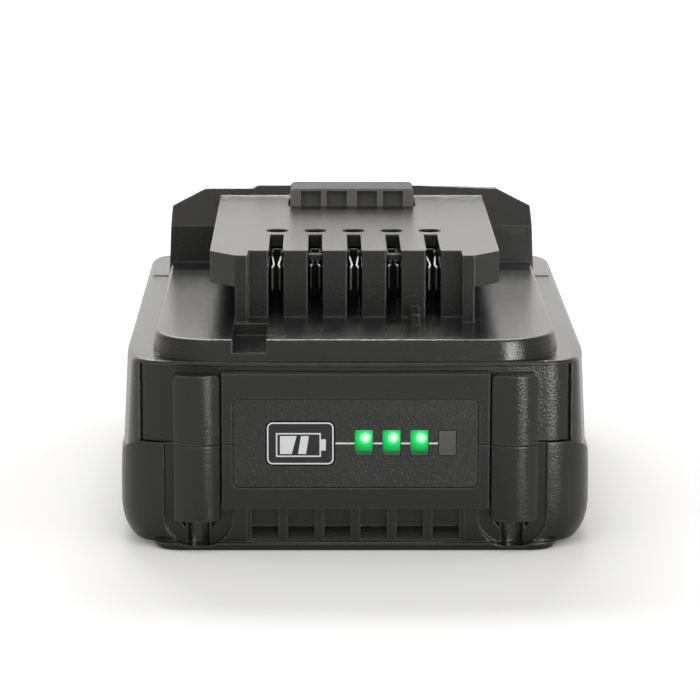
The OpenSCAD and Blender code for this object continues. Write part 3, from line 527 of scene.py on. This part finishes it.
cap = Finish("key_cap", IOR=1.46)
fine = cap.place.noise(0.00035, 3, 0.6)
cap.give(
    Base_Color=fine.mix((0.008, 0.009, 0.01, 1), (0.015, 0.017, 0.018, 1)),
    Roughness=0.4 + fine * 0.15,
    Normal=fine.bump(0.00004),
)
dress("gauge_button", cap, radius=0.0002)
KEY = (-0.015, KEY_RIGHT, 0.01475, 0.02215)
KEY_R = 0.00105
RIM_T = 0.00025
SIGN = (-0.0134, -0.00584, 0.01613, 0.02023)
SIGN_T = 0.00024
NUB = (-0.00584, -0.00502, 0.01722, 0.01916)
FILL_LOW, FILL_HIGH = 0.01664, 0.01972
FILLS = [
    (-0.01272, -0.01075, -0.00992, -0.01272),
    (-0.00968, -0.00835, -0.00785, -0.00919),
]
RIM_GAP = 0.0001


def shrunk(edges, by):
    """The edges of a rectangle, moved in."""
    left, right, low, high = edges
    return left + by, right - by, low + by, high - by


key_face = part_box("gauge_button")[0].y
rim_out = bar(*shrunk(KEY, RIM_GAP), KEY_R - RIM_GAP)
rim_in = bar(*shrunk(KEY, RIM_GAP + RIM_T), KEY_R - RIM_GAP - RIM_T)
sign = [
    (rim_out, [rim_in]),
    (bar(*SIGN), [bar(*shrunk(SIGN, SIGN_T))]),
    (bar(*NUB), []),
]
for low_left, low_right, high_right, high_left in FILLS:
    foot = [(low_left, FILL_LOW), (low_right, FILL_LOW)]
    sign.append((foot + [(high_right, FILL_HIGH), (high_left, FILL_HIGH)], []))
printed("key_sign_print", sign, key_face, "gauge_key")

# Plunger and housing screws: turned and cold headed steel, zinc plated. The
# screws come up from below into the upper shell's pillars.

zinc = Finish("zinc_plate", Metallic=1.0)
turned = zinc.place.scaled((1, 1, 12)).noise(0.0004, 2)
bloom = zinc.place.noise(0.0012, 3)
zinc.give(
    Base_Color=bloom.mix((0.5, 0.5, 0.49, 1), (0.66, 0.66, 0.65, 1)),
    Roughness=0.26 + bloom * 0.2,
    Normal=turned.bump(0.00001),
)
dress("switch_plunger", zinc, radius=0.0001)
dress("housing_screws", zinc, radius=0.0002)

# Lower housing: one injection moulding of black glass filled nylon. The mould
# was spark eroded, so its face has a fine satin grain that glints in the light.

GRAIN = 0.00025


def moulded(name, tone, rough, depth):
    """Satin plastic with a spark eroded grain, paler on its edges from wear and from a
    painted highlight.
    """
    skin = Finish(name, IOR=1.5)
    grain = skin.place.noise(GRAIN, 2, 0.6)
    sparks = skin.place.cells(GRAIN * 1.6)
    cloud = skin.place.noise(0.014, 3)
    # The pale edges are partly wear and partly a painted highlight along the edges that stand
    # out.
    wear_and_highlight = (skin.standing_edges(0.0004) * (0.5 + skin.place.noise(0.002, 3))).clamp()
    dark, light, pale = (grey(tone * share, 0.01) for share in (0.8, 1.25, 7))
    plain = (cloud * 0.55 + grain * 0.45).mix(dark, light)
    skin.give(
        Base_Color=wear_and_highlight.mix(plain, pale),
        Roughness=rough + cloud * 0.08 + grain * 0.08 - wear_and_highlight * 0.1,
        Normal=(grain * 0.7 - sparks * 0.3).bump(depth, skin.rounded(0.0004)),
    )
    return skin


housing = moulded("housing_nylon", tone=0.013, rough=0.11, depth=0.00006)
dress("lower_housing", housing)

# Spring bridge and latch springs: a moulded bridge that lies over the racks,
# with a post in each spring. The springs are drawn steel wire, wound with a
# closed turn at each end.

dress("spring_seat", rack, radius=0.0002)
WIRE_D = 0.0006
TURNS = 8
WIRE_SIDES = 10
RINGS = 28
CLOSED = 0.8
wire = Finish("spring_wire", Metallic=1.0)
draw = wire.place.noise(0.00025, 3)
wire.give(
    Base_Color=draw.mix(grey(0.3, 0.02), grey(0.5, 0.02)),
    Roughness=0.25 + draw * 0.18,
    Normal=draw.bump(0.000008),
)


def wound(name, node):
    """A coil spring in the room of its CAD node."""
    low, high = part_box(node)
    middle = (low + high) / 2
    coil_r = (high.x - low.x - WIRE_D) / 2
    foot, tip = low.z + WIRE_D / 2, high.z - WIRE_D / 2
    sides = WIRE_SIDES
    last = TURNS * RINGS
    closed = CLOSED * WIRE_D / (tip - foot)
    points = []
    for i in range(last + 1):
        turn = i / RINGS
        if turn < 1:
            share = closed * turn
        elif turn > TURNS - 1:
            share = 1 - closed * (TURNS - turn)
        else:
            share = closed + (1 - 2 * closed) * (turn - 1) / (TURNS - 2)
        a = 2 * math.pi * turn
        for j in range(sides):
            b = 2 * math.pi * j / sides
            r = coil_r + WIRE_D / 2 * math.cos(b)
            z = foot + (tip - foot) * share + WIRE_D / 2 * math.sin(b)
            points.append((middle.x + r * math.cos(a), middle.y + r * math.sin(a), z))
    faces = []
    for i in range(last):
        here, ahead = i * sides, (i + 1) * sides
        for j in range(sides):
            k = (j + 1) % sides
            faces.append((here + j, ahead + j, ahead + k, here + k))
    faces.append(tuple(range(sides)))
    faces.append(tuple(last * sides + j for j in reversed(range(sides))))
    mesh = bpy.data.meshes.new(name)
    mesh.from_pydata(points, [], faces)
    mesh.shade_smooth()
    mesh.materials.append(wire.material)
    piece = bpy.data.objects.new(name, mesh)
    bpy.context.scene.collection.objects.link(piece)
    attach(piece, "pack")
    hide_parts(node)
    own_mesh(piece)


for side in ("left", "right"):
    wound(f"latch_coil_{side}", f"latch_spring_{side}")

# Release latch: one moulding of grey acetal, with the ribbed tooth that holds
# the tool and the thumb pad behind it. Its face is dull and a little chalky.

latch = Finish("latch_acetal", IOR=1.08)
chalk = latch.place.noise(0.00045, 4, 0.65)
smear = latch.place.scaled((0.4, 1, 1)).noise(0.005, 3)
polish = (latch.standing_edges(0.0005) * (0.4 + smear)).clamp()
dull_grey = (chalk * 0.5 + smear * 0.5).mix(grey(0.19), grey(0.26))
latch.give(
    Base_Color=polish.mix(dull_grey, grey(0.34)),
    Roughness=0.62 + chalk * 0.15 - polish * 0.12,
    Normal=chalk.bump(0.00003, latch.rounded(0.00025)),
)
dress("release_latch", latch)

# Upper housing: the second black moulding, with the rail for the tool, the
# terminal slots and the hump. It closes on the lower one along the seam.

dress("upper_housing", housing)

# Studio: a pale paper floor in a white room, brightest low behind the pack. A
# soft box behind throws the shadow forward, a small one hangs above, and a
# strip near the right draws the sheen on the edges of the columns.

FLOOR_HALF = 6.0
FLOOR_Z = -0.00005
WARM_WHITE = (1.0, 0.99, 0.97)
STRIP_WHITE = (1.0, 0.99, 0.98)
PACK_MIDDLE = (0, 0, 0.02)
BACK_GLOW, FRONT_GLOW, ROOM_GLOW = 0.64, 0.28, 0.53
corners = [(-1, -1), (1, -1), (1, 1), (-1, 1)]
floor_mesh = bpy.data.meshes.new("floor")
floor_mesh.from_pydata(
    [(x * FLOOR_HALF, y * FLOOR_HALF, FLOOR_Z) for x, y in corners], [], [(0, 1, 2, 3)]
)
floor = bpy.data.objects.new("floor", floor_mesh)
bpy.context.scene.collection.objects.link(floor)
paper = Finish("floor_paper", Roughness=0.9, Specular_IOR_Level=0.0)
pulp = paper.place.noise(0.02, 2)
seen = pulp.node("ShaderNodeLightPath", out="Is Camera Ray")
white = pulp.mix(grey(0.97, -0.008), grey(0.99, -0.008))
paper.give(
    Base_Color=seen.mix(grey(0.84), white),
    Emission_Color=seen.mix(grey(0.0), grey(0.12)),
    Emission_Strength=1.0,
)
floor_mesh.materials.append(paper.material)

room = bpy.data.worlds.new("white_room")
room.use_nodes = True
bpy.context.scene.world = room
sky = room.node_tree.nodes["Background"]
around = Shade(room.node_tree.nodes.new("ShaderNodeTexCoord").outputs["Generated"])
ray = around.node("ShaderNodeLightPath", out="Is Camera Ray")
_, backwards, skywards = around.parts()
back = backwards.ease(0.2, 0.9) * (1 - skywards.ease(0.3, 0.6))
front = 1 - backwards.ease(-0.9, -0.2)
level = back * BACK_GLOW + front * FRONT_GLOW + ROOM_GLOW
sky.inputs["Color"].default_value = (1.015, 0.995, 0.97, 1)
room.node_tree.links.new((level + ray * (1 - level)).socket, sky.inputs["Strength"])


def soft_box(name, place, aim, size, power, colour, sheen=False):
    """A soft box turned towards a point, that lights all or only gives a sheen."""
    data = bpy.data.lights.new(name, "AREA")
    data.shape = "RECTANGLE"
    data.size, data.size_y = size
    data.energy = power
    data.color = colour
    lamp_object = bpy.data.objects.new(name, data)
    lamp_object.location = place
    lamp_object.visible_camera = False
    lamp_object.visible_diffuse = not sheen
    towards = Vector(aim) - Vector(place)
    lamp_object.rotation_euler = towards.to_track_quat("-Z", "Y").to_euler()
    bpy.context.scene.collection.objects.link(lamp_object)


soft_box(
    "box_back", place=(-0.1, 1.18, 0.94), aim=PACK_MIDDLE,
    size=(0.8, 0.24), power=11.0, colour=WARM_WHITE,
)
soft_box(
    "box_top", place=(0.0, -0.12, 1.3), aim=PACK_MIDDLE,
    size=(0.6, 0.3), power=1.8, colour=WARM_WHITE,
)
soft_box(
    "strip_right", place=(0.125, -0.22, 0.062), aim=(0.01, -0.05, 0.015),
    size=(0.06, 0.12), power=0.33, colour=STRIP_WHITE, sheen=True,
)

# Camera: where the photograph was taken from, with a long lens. Its place and
# axes were solved from the vanishing point and the round holes in the deck.

SENSOR = 36.0
FOCAL_PX = 3496.4
IMAGE_PX = 700
EYE_PLACE = (-0.006, -0.6304, 0.1438)
EYE_RIGHT = (0.99996, -0.00843, 0.00161)
EYE_UP = (0.0, 0.18738, 0.98227)
EYE_AHEAD = (0.00858, 0.98224, -0.18737)
eye = bpy.data.cameras.new("camera")
eye.sensor_width = SENSOR
eye.lens = FOCAL_PX / IMAGE_PX * SENSOR
eye.clip_start, eye.clip_end = 0.05, 50
camera = bpy.data.objects.new("camera", eye)
rows = [(EYE_RIGHT[i], EYE_UP[i], -EYE_AHEAD[i], EYE_PLACE[i]) for i in range(3)]
camera.matrix_world = Matrix(rows + [(0, 0, 0, 1)])
bpy.context.scene.collection.objects.link(camera)
bpy.context.scene.camera = camera
bpy.context.scene.view_settings.view_transform = "Standard"
